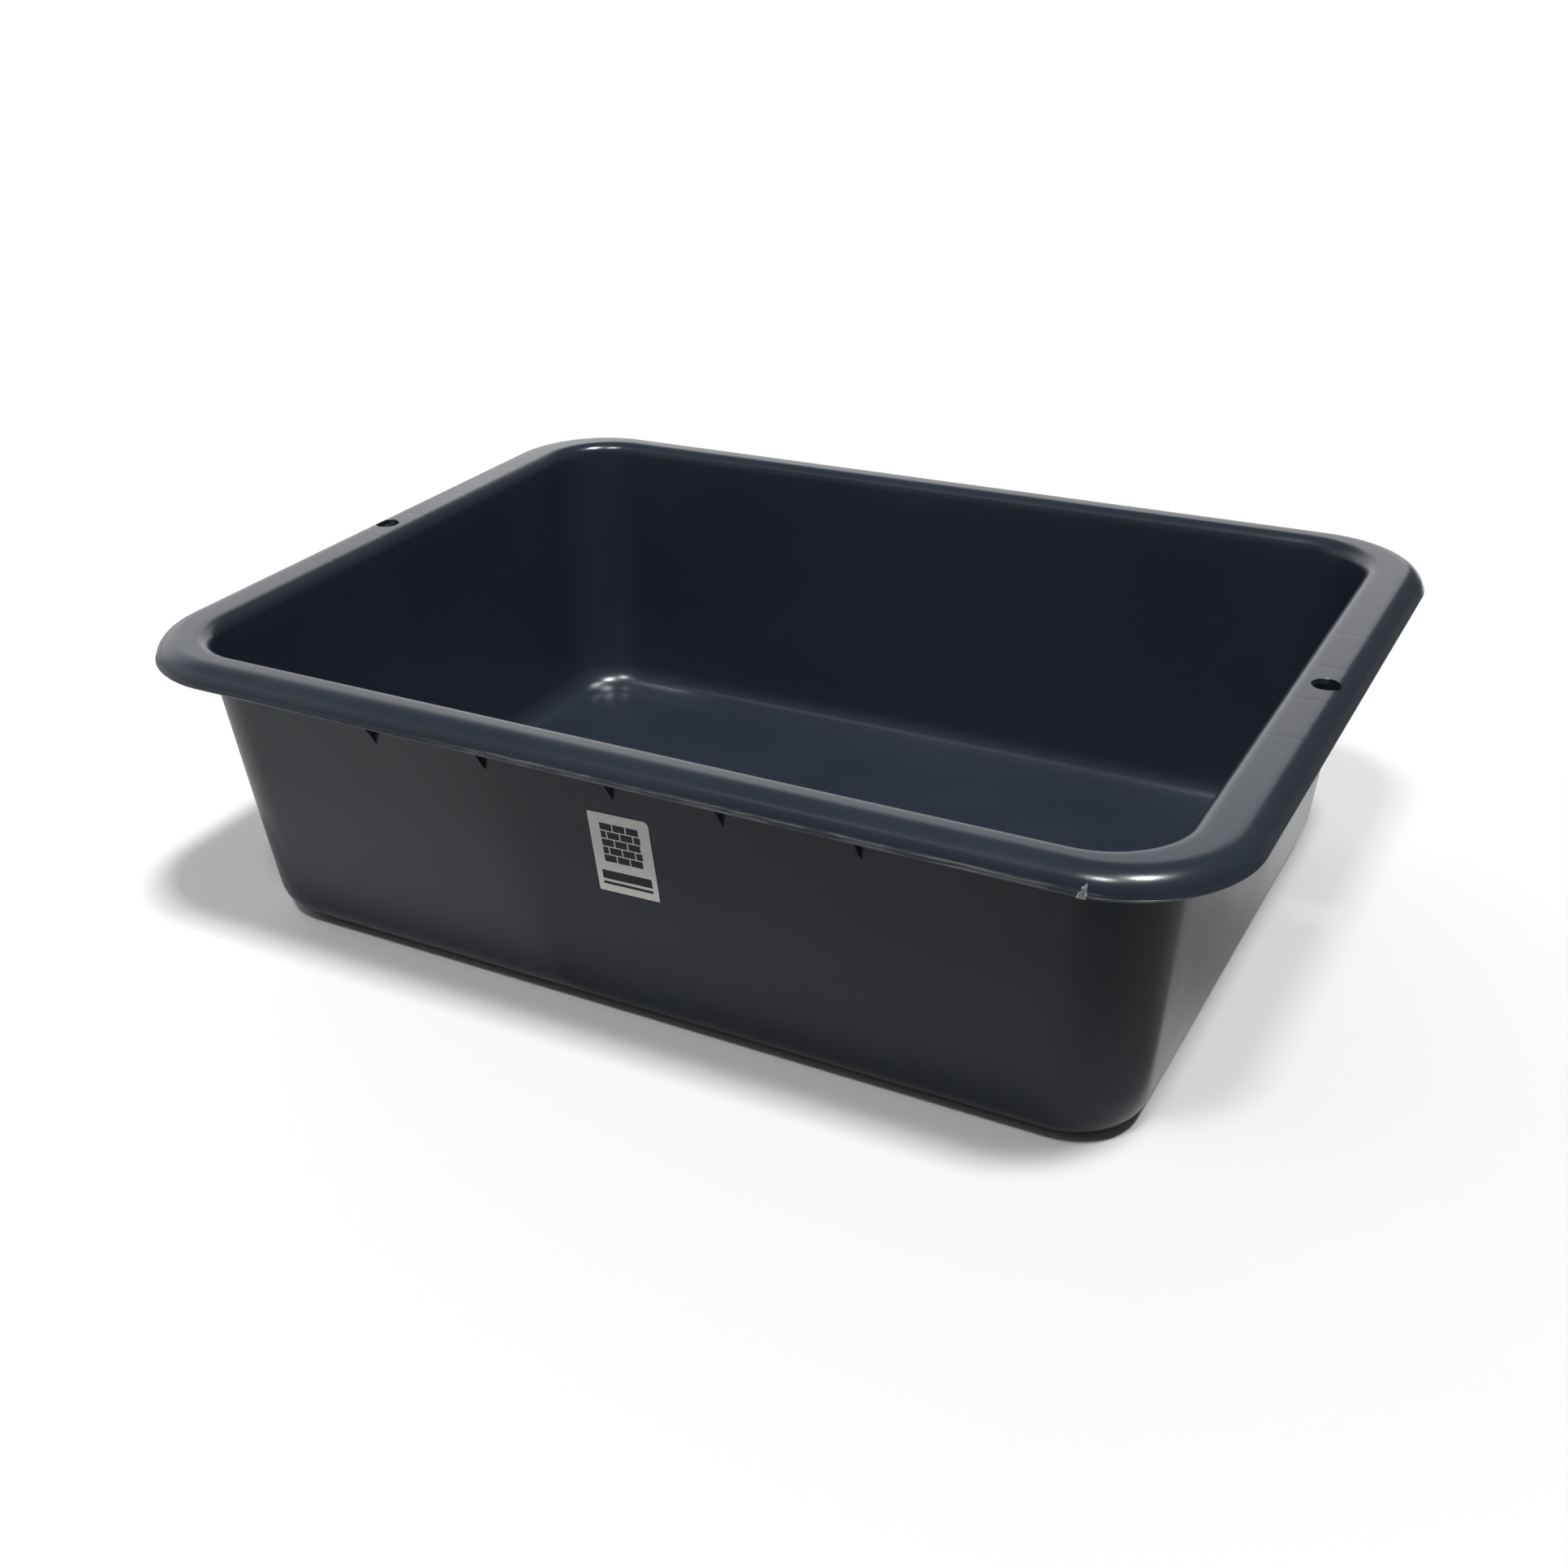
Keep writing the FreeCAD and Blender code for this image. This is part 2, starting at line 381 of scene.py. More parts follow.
def joined(parts):
    """Vertices and faces of several (vertices, faces) parts as one."""
    vertices, faces = [], []
    for part_vertices, part_faces in parts:
        first = len(vertices)
        vertices += part_vertices
        faces += [tuple(first + i for i in face) for face in part_faces]
    return vertices, faces


def patch_faces(index_grid):
    """Quads over a grid of vertex indices."""
    faces = []
    for i in range(index_grid.shape[0] - 1):
        for j in range(index_grid.shape[1] - 1):
            corners = (index_grid[i, j], index_grid[i + 1, j], index_grid[i + 1, j + 1], index_grid[i, j + 1])
            faces.append(tuple(int(k) for k in corners))
    return faces


def tub_blank():
    """The moulding before its gussets and holes: nested rings, closed by the floor and the underside."""
    end_rows = section(BASE_HALF_LENGTH, TOP_HALF_LENGTH, RIM_HALF_LENGTH)
    side_rows = section(BASE_HALF_WIDTH, TOP_HALF_WIDTH, RIM_HALF_WIDTH)
    stops, across_count, along_count = stations()
    rings = ring_points(end_rows, side_rows, stops)
    ring_count, stop_count = rings.shape[:2]
    vertices = [Vector(p) for p in rings.reshape(-1, 3)]
    grid = np.arange(ring_count * stop_count).reshape(ring_count, stop_count)
    faces = patch_faces(np.concatenate([grid, grid[:, :1]], axis=1))
    for ring_index in (0, ring_count - 1):
        points, edges = floor_patch(rings[ring_index], across_count, along_count)
        bottom, top, left, right = (np.array(e) + ring_index * stop_count for e in edges)
        index = np.zeros(points.shape[:2], int)
        inner = (points.shape[0] - 2, points.shape[1] - 2)
        index[1:-1, 1:-1] = len(vertices) + np.arange(inner[0] * inner[1]).reshape(inner)
        vertices += [Vector(p) for p in points[1:-1, 1:-1].reshape(-1, 3)]
        index[:, 0], index[:, -1], index[0], index[-1] = bottom, top, left, right
        faces += patch_faces(index)
    warp(vertices)
    blank = new_object("tub_shell", [mould_marks(v) for v in vertices], faces)
    close_normals(blank)
    return blank


def prism(points, thickness):
    """Vertices and faces of a plate with its outline in the XZ plane, centred on Y."""
    count = len(points)
    vertices = [Vector((x, y, z)) for y in (-thickness / 2, thickness / 2) for x, z in points]
    faces = [tuple(range(count)), tuple(range(2 * count - 1, count - 1, -1))]
    faces += [(i, (i + 1) % count, count + (i + 1) % count, count + i) for i in range(count)]
    return vertices, faces


def gusset_outline(base, top, rim):
    """Triangle that widens from its tip on the wall up into the roll of the rim."""
    under = HEIGHT - WALL
    tip = base + (top - base) * GUSSET_TIP_HEIGHT / HEIGHT
    head = base + (top - base) * under / HEIGHT
    roll_reach = rim - LIP_PROUD - ROLL_RADIUS
    roll_height = HEIGHT - ROLL_RADIUS
    hold = ROLL_RADIUS - WALL + EMBED
    return [
        (tip - EMBED, GUSSET_TIP_HEIGHT),
        (tip, GUSSET_TIP_HEIGHT),
        (roll_reach + hold * math.sin(GUSSET_WRAP), roll_height + hold * math.cos(GUSSET_WRAP)),
        (roll_reach, under + EMBED),
        (head, under + EMBED),
    ]


def gusset_plates():
    """All the gussets in one helper object."""
    end = prism(gusset_outline(BASE_HALF_LENGTH, TOP_HALF_LENGTH, RIM_HALF_LENGTH), GUSSET_THICKNESS)
    side = prism(gusset_outline(BASE_HALF_WIDTH, TOP_HALF_WIDTH, RIM_HALF_WIDTH), GUSSET_THICKNESS)
    places = [(end, turn, Vector((0, y, 0))) for turn in (0, 180) for y in END_GUSSET_Y]
    places += [(side, turn, Vector((x, 0, 0))) for turn in (-90, 90) for x in SIDE_GUSSET_X]
    parts = []
    for (plate, faces), turn, shift in places:
        spin = Matrix.Rotation(math.radians(turn), 3, "Z")
        parts.append(([spin @ v + shift for v in plate], faces))
    plates = new_object("gusset_plates", *joined(parts))
    close_normals(plates)
    return plates


def torn_flap(materials):
    """Ragged bit of flash left standing on the front lip, leaning on the roll, in the second material."""
    vertices, faces = prism(FLAP_OUTLINE, FLAP_THICKNESS)
    turn = math.asin((FLASH_END - CORNER_CENTRE_X) / RIM_CORNER_RADIUS)
    corner = Vector((CORNER_CENTRE_X, -CORNER_CENTRE_Y, LIP_LOW))
    across = Vector((math.cos(turn), math.sin(turn), 0))
    out = Vector((math.sin(turn), -math.cos(turn), 0))
    placed = []
    for v in vertices:
        above = max(0.0, v.z - (HEIGHT - ROLL_RADIUS - LIP_LOW))
        fall = ROLL_REACH * (1 - math.sqrt(1 - (above / ROLL_RADIUS) ** 2))
        curl = FLAP_CURL * waver(v.x * 500, v.z * 500, 2.2)
        reach = RIM_CORNER_RADIUS - LIP_PROUD - fall - v.y + curl
        placed.append(corner + across * v.x + out * reach + Vector((0, 0, v.z)))
    flap = new_object("torn_flap", placed, faces)
    add_materials(flap, materials)
    flap.data.polygons.foreach_set("material_index", [1] * len(faces))
    close_normals(flap)
    return flap


def lathe(profile, centre):
    """Vertices and faces of a closed turned solid; profile rows are (radius, height), from low to high."""
    vertices, faces = [], []
    steps = LATHE_STEPS
    for radius, height in profile:
        for k in range(steps):
            a = k * math.tau / steps
            x = centre[0] + radius * math.cos(a)
            y = centre[1] + radius * math.sin(a)
            vertices.append(Vector((x, y, height)))
    for i in range(len(profile) - 1):
        for k in range(steps):
            n = (k + 1) % steps
            faces.append((i * steps + k, i * steps + n, (i + 1) * steps + n, (i + 1) * steps + k))
    last = (len(profile) - 1) * steps
    faces += [tuple(range(steps - 1, -1, -1)), tuple(range(last, last + steps))]
    return vertices, faces


def hole_profile(radius):
    """Drill for a rim hole, with a narrow chamfer where it meets the top of the rim."""
    return [
        (radius, HEIGHT - RIM_DROP),
        (radius, HEIGHT - HOLE_CHAMFER),
        (radius + HOLE_CHAMFER * 2, HEIGHT + HOLE_CHAMFER),
        (radius + HOLE_CHAMFER * 2, HEIGHT + WALL),
    ]


def cutters():
    """The two hole drills and the gate recess in one helper object."""
    parts = []
    for mount in frame["record"]["mounts"]:
        if mount["kind"] == "bore":
            parts.append(lathe(hole_profile(mount["dims"]["r_mm"] / 1000), mount["pos_m"]))
    gate_profile = [
        (GATE_RADIUS, -GATE_DEPTH),
        (GATE_RADIUS, GATE_DEPTH),
        (GATE_NUB_RADIUS, GATE_DEPTH),
        (GATE_NUB_RADIUS, GATE_DEPTH - GATE_NUB_HEIGHT),
    ]
    parts.append(lathe(gate_profile, (0, 0, 0)))
    drills = new_object("cutters", *joined(parts))
    close_normals(drills)
    return drills


def apply_boolean(piece, helper, operation):
    """Joins or cuts piece with a helper object, which is then removed."""
    step = piece.modifiers.new(operation, "BOOLEAN")
    step.object = helper
    step.operation = operation
    step.solver = "EXACT"
    graph = bpy.context.evaluated_depsgraph_get()
    result = bpy.data.meshes.new_from_object(piece.evaluated_get(graph), depsgraph=graph)
    piece.modifiers.clear()
    old = piece.data
    piece.data = result
    result.name = piece.name
    bpy.data.meshes.remove(old)
    bpy.data.objects.remove(helper)


def add_materials(piece, materials):
    for material in materials:
        piece.data.materials.append(material)


def build_tub():
    """The whole moulding. Its second material is the pale torn flash."""
    materials = (plastic_material(), torn_material())
    shell = tub_blank()
    add_materials(shell, materials)
    apply_boolean(shell, gusset_plates(), "UNION")
    apply_boolean(shell, torn_flap(materials), "UNION")
    apply_boolean(shell, cutters(), "DIFFERENCE")
    shell.data.shade_smooth()
    shell.data.set_sharp_from_angle(angle=SHARP_ANGLE)
    return shell


# ---------------------------------------------------------------- label

def label_frame():
    """Origin on the wall and the across, up and outward directions of the label."""
    across = Vector((1, 0, 0))
    up = Vector((0, -math.sin(FRONT_DRAFT), math.cos(FRONT_DRAFT)))
    out = Vector((0, -math.cos(FRONT_DRAFT), -math.sin(FRONT_DRAFT)))
    tilted = across * math.cos(LABEL_TILT) + up * math.sin(LABEL_TILT)
    risen = up * math.cos(LABEL_TILT) - across * math.sin(LABEL_TILT)
    middle = (LABEL_LOW + LABEL_HIGH) / 2
    reach = BASE_HALF_WIDTH + (TOP_HALF_WIDTH - BASE_HALF_WIDTH) * middle.z / HEIGHT
    return Vector((middle.x, -reach, middle.z)), tilted, risen, out


def film_wave(u, v):
    """Small lift of the film off the wall: more at its edges, where it never sticks quite flat."""
    edge = max(abs(u) / (LABEL_WIDTH / 2), abs(v) / (LABEL_HEIGHT / 2))
    ripple = waver(u * 120, v * 90, 0.4)
    curl = max(0.0, edge - FILM_EDGE) / (1 - FILM_EDGE)
    return FILM_LIFT + FILM_RIPPLE * max(0.0, ripple) + FILM_LIFT * curl


def label_point(u, v, lift):
    origin, across, up, out = label_frame()
    return origin + across * u + up * v + out * (lift + film_wave(u, v))


def sheet(low, high, cells, thickness, lift, shape=lambda u, v: (u, v)):
    """Closed thin sheet on the label's plane, between two corners; shape bends its outline."""
    us = np.linspace(low[0], high[0], cells[0] + 1)
    vs = np.linspace(low[1], high[1], cells[1] + 1)
    vertices = []
    for layer in (lift, lift + thickness):
        for u in us:
            for v in vs:
                vertices.append(label_point(*shape(u, v), layer))
    rows, columns = len(us), len(vs)
    over = rows * columns
    grid = np.arange(over).reshape(rows, columns)
    faces = patch_faces(grid) + [f[::-1] for f in patch_faces(grid + over)]
    border = list(grid[:, 0]) + list(grid[-1, 1:]) + list(grid[-2::-1, -1]) + list(grid[0, -2:0:-1])
    for a, b in zip(border, border[1:] + border[:1]):
        faces.append((int(a), int(b), int(b + over), int(a + over)))
    return vertices, faces


def film_outline(u, v):
    """Bends a rectangle into the cut film: one well rounded top corner, three crisp ones."""
    half_u, half_v = LABEL_WIDTH / 2, LABEL_HEIGHT / 2
    radius = FILM_ROUND_CORNER if (u > 0 and v > 0) else FILM_CRISP_CORNER
    du = abs(u) - (half_u - radius)
    dv = abs(v) - (half_v - radius)
    if du <= 0 or dv <= 0:
        return u, v
    scale = max(du, dv) / math.hypot(du, dv)
    return math.copysign(half_u - radius + du * scale, u), math.copysign(half_v - radius + dv * scale, v)


def ink_areas():
    """Corners of the printed areas: a low wall of bricks laid in running bond, over two plain bars."""
    areas = []
    left, right = -BRICKS_HALF_WIDTH, BRICKS_HALF_WIDTH
    pitch = BRICK_LENGTH + BRICK_JOINT
    for row in range(BRICK_COURSES):
        v = BRICKS_LOW + row * (BRICK_HEIGHT + BRICK_JOINT)
        u = left - pitch / 2 * (row % 2)
        while u < right:
            a, b = max(u, left), min(u + BRICK_LENGTH, right)
            if b - a > BRICK_JOINT:
                areas.append(((a, v), (b, v + BRICK_HEIGHT)))
            u += pitch
    for low, high in BARS:
        areas.append(((-BAR_HALF_WIDTH, low), (BAR_HALF_WIDTH, high)))
    return areas


def build_label():
    """The film, with its print as thin raised ink on its face."""
    half_u, half_v = LABEL_WIDTH / 2, LABEL_HEIGHT / 2
    parts = [sheet((-half_u, -half_v), (half_u, half_v), FILM_CELLS, FILM_THICKNESS, 0.0, film_outline)]
    film_faces = len(parts[0][1])
    for low, high in ink_areas():
        cells = (max(2, round((high[0] - low[0]) / INK_PITCH)), 3)
        parts.append(sheet(low, high, cells, INK_THICKNESS, FILM_THICKNESS + INK_GAP))
    vertices, faces = joined(parts)
    piece = new_object("label_film", vertices, faces)
    add_materials(piece, (film_material(), ink_material()))
    piece.data.polygons.foreach_set("material_index", [0 if i < film_faces else 1 for i in range(len(faces))])
    close_normals(piece)
    return piece


# ---------------------------------------------------------------- shader helpers

def new_material(name):
    """A material with its node tree and Principled shader, and the place on the object."""
    material = bpy.data.materials.new(name)
    material.use_nodes = True
    tree = material.node_tree
    return material, tree, tree.nodes["Principled BSDF"], node(tree, "TexCoord").outputs["Object"]


def feed(tree, socket, value):
    if isinstance(value, bpy.types.NodeSocket):
        tree.links.new(value, socket)
    else:
        socket.default_value = value


def node(tree, kind, settings=None, **inputs):
    """New shader node; inputs are named by their sockets, with _ for a space."""
    made = tree.nodes.new("ShaderNode" + kind)
    for name, value in (settings or {}).items():
        setattr(made, name, value)
    for name, value in inputs.items():
        feed(tree, made.inputs[name.replace("_", " ")], value)
    return made


def maths(tree, operation, a, b=0.0, c=0.0):
    made = tree.nodes.new("ShaderNodeMath")
    made.operation = operation
    for socket, value in zip(made.inputs, (a, b, c)):
        feed(tree, socket, value)
    return made.outputs[0]


def product(tree, *factors):
    total = factors[0]
    for factor in factors[1:]:
        total = maths(tree, "MULTIPLY", total, factor)
    return total


def ramp(tree, value, low, high, out_low=0.0, out_high=1.0):
    """Smooth step of value from low to high, onto out_low to out_high."""
    made = node(tree, "MapRange", {"interpolation_type": "SMOOTHSTEP"}, From_Min=low, From_Max=high,
                To_Min=out_low, To_Max=out_high)
    feed(tree, made.inputs["Value"], value)
    return made.outputs["Result"]


def mix_colour(tree, share, a, b):
    made = tree.nodes.new("ShaderNodeMix")
    made.data_type = "RGBA"
    feed(tree, made.inputs["Factor"], share)
    feed(tree, made.inputs["A"], a)
    feed(tree, made.inputs["B"], b)
    for output in made.outputs:
        if output.type == "RGBA":
            return output


def cloud(tree, place, scale, detail):
    """Procedural noise, from about 0.3 to 0.7."""
    return node(tree, "TexNoise", Vector=place, Scale=scale, Detail=detail).outputs[0]


def between_mask(tree, value, low, high, soft):
    """1 where value lies between low and high, fading over soft at both ends."""
    rise = ramp(tree, value, low - soft, low + soft)
    fall = ramp(tree, value, high - soft, high + soft, 1.0, 0.0)
    return product(tree, rise, fall)


def stretched(tree, place, x, y, z):
    return node(tree, "Mapping", Vector=place, Scale=(x, y, z)).outputs[0]


# ---------------------------------------------------------------- materials

# The plastic: its colours, lightest where it is trimmed, torn or dusty, with a painted highlight along the
# lip's lower edge, and its gloss and surface marks
PLASTIC_DARK = (0.020, 0.026, 0.037, 1)
PLASTIC_LIGHT = (0.023, 0.030, 0.042, 1)
SCUFF_COLOUR = (0.07, 0.075, 0.085, 1)
# Colour of the painted highlight along the lip's lower edge
LIP_HIGHLIGHT_COLOUR = (0.24, 0.25, 0.26, 1)
FLASH_COLOUR = (0.20, 0.205, 0.21, 1)
DUST_COLOUR = (0.22, 0.22, 0.21, 1)
TORN_DARK = (0.07, 0.075, 0.08, 1)
TORN_LIGHT = (0.36, 0.365, 0.37, 1)
PLASTIC_ROUGHNESS = (0.215, 0.255)
SCUFF_ROUGHNESS = 0.10
PALE_ROUGHNESS = 0.30
SCUFF_SHARE = 0.13
LIP_HIGHLIGHT_SHARE = 0.8
DUST_SHARE = 0.6
GRAIN_DEPTH = 0.00005
PEEL_DEPTH = 0.0001
TORN_DEPTH = 0.0003
FLASH_LINE_PITCH = 0.0019
FLASH_LINE_WANDER = 0.0020

# Colours of the label's film and ink
FILM_DARK = (0.90, 0.885, 0.855, 1)
FILM_LIGHT = (0.95, 0.935, 0.905, 1)
INK_DARK = (0.011, 0.012, 0.016, 1)
INK_WORN = (0.05, 0.05, 0.055, 1)


def past(tree, value, limit):
    """How far the size of value goes past limit, and 0 before it."""
    return maths(tree, "MAXIMUM", maths(tree, "SUBTRACT", maths(tree, "ABSOLUTE", value), limit), 0.0)


def rim_distance(tree, x, y):
    """Distance outwards from the centres of the rim's corners: RIM_CORNER_RADIUS at its edge."""
    over_x = past(tree, x, CORNER_CENTRE_X)
    over_y = past(tree, y, CORNER_CENTRE_Y)
    squares = maths(tree, "ADD", product(tree, over_x, over_x), product(tree, over_y, over_y))
    return maths(tree, "SQRT", squares)


def flash_mask(tree, place, x, y, z):
    """Pale broken lines of flash along the front lip."""
    wander = cloud(tree, stretched(tree, place, 1, 0, 0), 34.0, 2.0)
    level = maths(tree, "ADD", z, product(tree, wander, FLASH_LINE_WANDER))
    wave = maths(tree, "SINE", product(tree, level, math.tau / FLASH_LINE_PITCH))
    broken = cloud(tree, stretched(tree, place, 1, 1, 8), 55.0, 3.0)
    lines = product(tree, ramp(tree, wave, 0.0, 1.0, 0.25, 1.0), ramp(tree, broken, 0.38, 0.62, 0.2, 1.0))
    band = between_mask(tree, z, LIP_LOW, LIP_LOW + FLASH_HEIGHT, 0.0006)
    reach = between_mask(tree, x, FLASH_START + 0.02, FLASH_END - 0.001, 0.02)
    front = ramp(tree, y, 0.0020 - RIM_HALF_WIDTH, 0.0030 - RIM_HALF_WIDTH, 1.0, 0.0)
    return product(tree, product(tree, lines, band), product(tree, reach, front))


def lip_highlight_mask(tree, place, x, y, z):
    """Painted highlight along the bottom of the lip, also standing for its pale trimmed edge."""
    patchy = cloud(tree, place, 45.0, 3.0)
    edge = between_mask(tree, z, LIP_LOW - 0.0001, LIP_LOW + 0.0008, 0.0002)
    outer = ramp(tree, rim_distance(tree, x, y), RIM_CORNER_RADIUS - 0.004, RIM_CORNER_RADIUS - 0.003)
    return product(tree, edge, outer, ramp(tree, patchy, 0.3, 0.65, 0.4, 1.0))


def dust_mask(tree, place):
    """Sparse pale specks a few tenths of a millimetre across."""
    cells = node(tree, "TexVoronoi", Vector=place, Scale=110.0)
    speck = ramp(tree, cells.outputs["Distance"], 0.018, 0.045, 1.0, 0.0)
    pick = node(tree, "SeparateXYZ", Vector=cells.outputs["Color"]).outputs[0]
    return product(tree, speck, ramp(tree, pick, 0.78, 0.95))


def outside_mask(tree, x, y, z):
    """1 on the outside of the walls below the rim, 0 on their inside."""
    outside = []
    for across, base, top in ((x, BASE_HALF_LENGTH, TOP_HALF_LENGTH), (y, BASE_HALF_WIDTH, TOP_HALF_WIDTH)):
        lean = product(tree, z, (top - base) / HEIGHT)
        reach = maths(tree, "SUBTRACT", maths(tree, "ABSOLUTE", across), lean)
        outside.append(ramp(tree, reach, base - 0.0020, base - 0.0012))
    below_rim = ramp(tree, z, LIP_LOW - 0.006, LIP_LOW - 0.002, 1.0, 0.0)
    return product(tree, maths(tree, "MAXIMUM", *outside), below_rim)


def scuff_mask(tree, place, x, y, z):
    """Faint upright rubs on the outside of the walls, where tubs have been nested one inside the other."""
    fine = cloud(tree, stretched(tree, place, 1, 1, 0.07), 260.0, 3.0)
    patch = cloud(tree, place, 22.0, 3.0)
    rubs = product(tree, ramp(tree, fine, 0.60, 0.74), ramp(tree, patch, 0.52, 0.66))
    return product(tree, rubs, outside_mask(tree, x, y, z))


def plastic_material():
    """Dark blue-grey moulded plastic: slow changes of colour and gloss, grain, rubs, dust, a pale lip and a
    painted highlight along the lip's lower edge.
    """
    material, tree, shader, place = new_material("tub_plastic")
    x, y, z = node(tree, "SeparateXYZ", Vector=place).outputs
    broad = cloud(tree, place, 9.0, 3.0)
    grain = cloud(tree, place, 900.0, 2.0)
    peel = cloud(tree, place, 160.0, 2.0)
    flash = flash_mask(tree, place, x, y, z)
    edge = lip_highlight_mask(tree, place, x, y, z)
    scuff = scuff_mask(tree, place, x, y, z)
    dust = dust_mask(tree, place)
    colour = mix_colour(tree, ramp(tree, broad, 0.3, 0.7), PLASTIC_DARK, PLASTIC_LIGHT)
    colour = mix_colour(tree, product(tree, scuff, SCUFF_SHARE), colour, SCUFF_COLOUR)
    # Painted highlight along the lip's lower edge, over its pale trimmed edge
    colour = mix_colour(tree, product(tree, edge, LIP_HIGHLIGHT_SHARE), colour, LIP_HIGHLIGHT_COLOUR)
    colour = mix_colour(tree, flash, colour, FLASH_COLOUR)
    colour = mix_colour(tree, product(tree, dust, DUST_SHARE), colour, DUST_COLOUR)
    feed(tree, shader.inputs["Base Color"], colour)
    rough = ramp(tree, broad, 0.3, 0.7, *PLASTIC_ROUGHNESS)
    rough = maths(tree, "ADD", rough, product(tree, scuff, SCUFF_ROUGHNESS))
    rough = maths(tree, "ADD", rough, product(tree, maths(tree, "MAXIMUM", flash, edge), PALE_ROUGHNESS))
    feed(tree, shader.inputs["Roughness"], rough)
    shader.inputs["IOR"].default_value = 1.5
    bump = node(tree, "Bump", Strength=0.35, Distance=GRAIN_DEPTH, Height=grain)
    coarse = node(tree, "Bump", Strength=0.3, Distance=PEEL_DEPTH, Height=peel, Normal=bump.outputs[0])
    feed(tree, shader.inputs["Normal"], coarse.outputs[0])
    return material


def torn_material():
    """Stretched plastic, whitened and rough where the flash tore."""
    material, tree, shader, place = new_material("torn_plastic")
    fibre = cloud(tree, place, 1100.0, 4.0)
    colour = mix_colour(tree, ramp(tree, fibre, 0.35, 0.65), TORN_DARK, TORN_LIGHT)
    feed(tree, shader.inputs["Base Color"], colour)
    feed(tree, shader.inputs["Roughness"], ramp(tree, fibre, 0.3, 0.7, 0.45, 0.65))
    bump = node(tree, "Bump", Strength=0.8, Distance=TORN_DEPTH, Height=fibre)
    feed(tree, shader.inputs["Normal"], bump.outputs[0])
    return material


def film_material():
    """Off-white adhesive film, slightly cloudy."""
    material, tree, shader, place = new_material("label_film")
    haze = cloud(tree, place, 120.0, 4.0)
    colour = mix_colour(tree, ramp(tree, haze, 0.35, 0.7), FILM_DARK, FILM_LIGHT)
    feed(tree, shader.inputs["Base Color"], colour)
    feed(tree, shader.inputs["Roughness"], ramp(tree, haze, 0.3, 0.7, 0.45, 0.6))
    return material


def ink_material():
    """Near-black print with small worn spots."""
    material, tree, shader, place = new_material("label_ink")
    worn = cloud(tree, place, 900.0, 3.0)
    colour = mix_colour(tree, ramp(tree, worn, 0.55, 0.8), INK_DARK, INK_WORN)
    feed(tree, shader.inputs["Base Color"], colour)
    feed(tree, shader.inputs["Roughness"], ramp(tree, worn, 0.3, 0.7, 0.4, 0.55))
    return material


# ---------------------------------------------------------------- stage, light and camera

FLOOR_HALF = 30.0
FLOOR_SEEN = 0.80

# What the tub mirrors from the floor is painted light and shade, which the camera doesn't see. Each band in
# front starts a
# change of tone, a band of painted shade: the direction across the band (degrees from +X), its edge along
# that direction, its softness and the change
FLOOR_TONE = 0.50
FLOOR_SHADE_BANDS = (
    (-44.8, 0.0964, 0.005, -0.165),
    (-33.9, 0.2273, 0.005, -0.012),
    (-35.8, 0.36, 0.08, -0.133),
)
# Beside the tub the painted light runs from near to middle to far and is dimmer on the left. On the right it
# ends at a slanted edge, given by its X at Y = 0, its slope and its softness, with darker tones beyond it
FLOOR_SIDE_TONES = (0.80, 0.44, 0.98)
FLOOR_NEAR_SPAN = (-0.10, 0.0)
FLOOR_FAR_SPAN = (0.03, 0.16)
FLOOR_LEFT_SHARE = 0.56
FLOOR_LEFT_SPAN = (-0.2, 0.2)
FLOOR_BESIDE_SPAN = (-0.20, -0.12)
FLOOR_SIDE_EDGE = BASE_HALF_LENGTH + 0.030
FLOOR_SIDE_SLOPE = 0.14
FLOOR_SIDE_SOFT = 0.012
FLOOR_DARK_TONES = (0.20, 0.10)
FLOOR_DARK_SPAN = (-0.05, 0.20)

# Panels of light: radiance, then middle azimuth, half width, lowest and highest elevation, and the softness
# of the sides and of the top
AMBIENT = 0.08
PANELS = (
    (0.65, (221.3, 42.8, 2.0, 34.5, 1.5, 9.0)),
    (0.51, (198.5, 20.0, 2.0, 34.5, 1.5, 9.0)),
    (0.68, (-95.0, 50.0, 0.0, 40.0, 20.0, 10.0)),
    (1.2, (-41.0, 10.0, 49.5, 57.0, 2.0, 2.0)),
    (74.0, (4.0, 9.5, 62.0, 68.0, 2.0, 1.8)),
    (155.0, (71.0, 14.5, 69.0, 75.0, 2.0, 1.8)),
)

# Camera, in degrees and metres: where it stands, seen from the tub, and how it is framed
CAMERA_AZIMUTH = 30.69
CAMERA_ELEVATION = 26.66
CAMERA_ROLL = -2.08
CAMERA_DISTANCE = 1.0772
CAMERA_AIM = (0.06315, 0.02373)
CAMERA_LENS = 43.243
CAMERA_SHIFT = (0.06074, -0.00523)


def blended(tree, share, start, end):
    """start where share is 0, end where it is 1."""
    return maths(tree, "ADD", start, product(tree, share, maths(tree, "SUBTRACT", end, start)))


